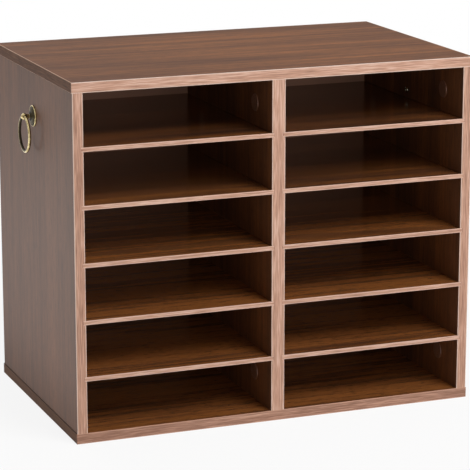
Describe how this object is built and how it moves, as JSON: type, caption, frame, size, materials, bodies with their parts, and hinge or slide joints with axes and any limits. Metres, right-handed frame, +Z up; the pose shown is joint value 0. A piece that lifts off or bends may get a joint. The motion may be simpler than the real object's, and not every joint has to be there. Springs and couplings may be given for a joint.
{
  "type": "document organizer",
  "caption": "Desktop document organizer: a flat-pack case with two columns of open compartments, thin shelves that slide in grooves, and a ring pull on each side.",
  "frame": {"origin": "middle of the underside of the bottom board", "axes": "+Z up, +X to the right seen from the open front, the open front faces -Y"},
  "size_m": [0.5182, 0.3, 0.414],
  "materials": {
    "walnut_board": "dark walnut melamine, satin",
    "edge_tape": "pale brown woodgrain edge tape, satin",
    "walnut_tape": "dark walnut woodgrain edge tape, satin",
    "walnut_hardboard": "dark walnut faced thin board, satin",
    "antique_brass": "antique brass, darkened in the hollows, satin",
    "zinc": "cast zinc, dull grey",
    "steel": "zinc-plated steel",
    "cover_plastic": "dark brown plastic cap",
    "beech": "plain beech, unfinished"
  },
  "bodies": {
    "case": {"top_board": "walnut_board", "top_front_tape": "edge_tape", "top_end_tapes": "walnut_tape", "bottom_board": "walnut_board", "bottom_front_tape": "edge_tape", "bottom_end_tapes": "walnut_tape", "left_side_board": "walnut_board", "left_side_tape": "edge_tape", "right_side_board": "walnut_board", "right_side_tape": "edge_tape", "centre_divider": "walnut_board", "divider_tape": "edge_tape", "back_panel": "walnut_hardboard", "cam_locks": "zinc", "cam_bolts": "steel", "cam_covers": "cover_plastic", "dowels": "beech", "left_rosette": "antique_brass", "left_eye_post": "antique_brass", "left_pull_screw": "steel", "right_rosette": "antique_brass", "right_eye_post": "antique_brass", "right_pull_screw": "steel"},
    "left_shelf_1_body": {"left_shelf_1": "walnut_board", "left_shelf_1_tape": "edge_tape"},
    "left_shelf_2_body": {"left_shelf_2": "walnut_board", "left_shelf_2_tape": "edge_tape"},
    "left_shelf_3_body": {"left_shelf_3": "walnut_board", "left_shelf_3_tape": "edge_tape"},
    "left_shelf_4_body": {"left_shelf_4": "walnut_board", "left_shelf_4_tape": "edge_tape"},
    "left_shelf_5_body": {"left_shelf_5": "walnut_board", "left_shelf_5_tape": "edge_tape"},
    "right_shelf_1_body": {"right_shelf_1": "walnut_board", "right_shelf_1_tape": "edge_tape"},
    "right_shelf_2_body": {"right_shelf_2": "walnut_board", "right_shelf_2_tape": "edge_tape"},
    "right_shelf_3_body": {"right_shelf_3": "walnut_board", "right_shelf_3_tape": "edge_tape"},
    "right_shelf_4_body": {"right_shelf_4": "walnut_board", "right_shelf_4_tape": "edge_tape"},
    "right_shelf_5_body": {"right_shelf_5": "walnut_board", "right_shelf_5_tape": "edge_tape"},
    "left_ring_body": {"left_ring": "antique_brass"},
    "right_ring_body": {"right_ring": "antique_brass"}
  },
  "joints": [
    {"name": "left_shelf_1_slide", "type": "slide", "parent": "case", "child": "left_shelf_1_body", "axis": [0, -1, 0], "range_m": [0, 0.25]},
    {"name": "left_shelf_2_slide", "type": "slide", "parent": "case", "child": "left_shelf_2_body", "axis": [0, -1, 0], "range_m": [0, 0.25]},
    {"name": "left_shelf_3_slide", "type": "slide", "parent": "case", "child": "left_shelf_3_body", "axis": [0, -1, 0], "range_m": [0, 0.25]},
    {"name": "left_shelf_4_slide", "type": "slide", "parent": "case", "child": "left_shelf_4_body", "axis": [0, -1, 0], "range_m": [0, 0.25]},
    {"name": "left_shelf_5_slide", "type": "slide", "parent": "case", "child": "left_shelf_5_body", "axis": [0, -1, 0], "range_m": [0, 0.25]},
    {"name": "right_shelf_1_slide", "type": "slide", "parent": "case", "child": "right_shelf_1_body", "axis": [0, -1, 0], "range_m": [0, 0.25]},
    {"name": "right_shelf_2_slide", "type": "slide", "parent": "case", "child": "right_shelf_2_body", "axis": [0, -1, 0], "range_m": [0, 0.25]},
    {"name": "right_shelf_3_slide", "type": "slide", "parent": "case", "child": "right_shelf_3_body", "axis": [0, -1, 0], "range_m": [0, 0.25]},
    {"name": "right_shelf_4_slide", "type": "slide", "parent": "case", "child": "right_shelf_4_body", "axis": [0, -1, 0], "range_m": [0, 0.25]},
    {"name": "right_shelf_5_slide", "type": "slide", "parent": "case", "child": "right_shelf_5_body", "axis": [0, -1, 0], "range_m": [0, 0.25]},
    {"name": "left_ring_hinge", "type": "hinge", "parent": "case", "child": "left_ring_body", "pos_m": [-0.2552, 0, 0.35117], "axis": [0, 1, 0], "range_deg": [-12, 192]},
    {"name": "right_ring_hinge", "type": "hinge", "parent": "case", "child": "right_ring_body", "pos_m": [0.2552, 0, 0.35117], "axis": [0, -1, 0], "range_deg": [-12, 192]}
  ]
}
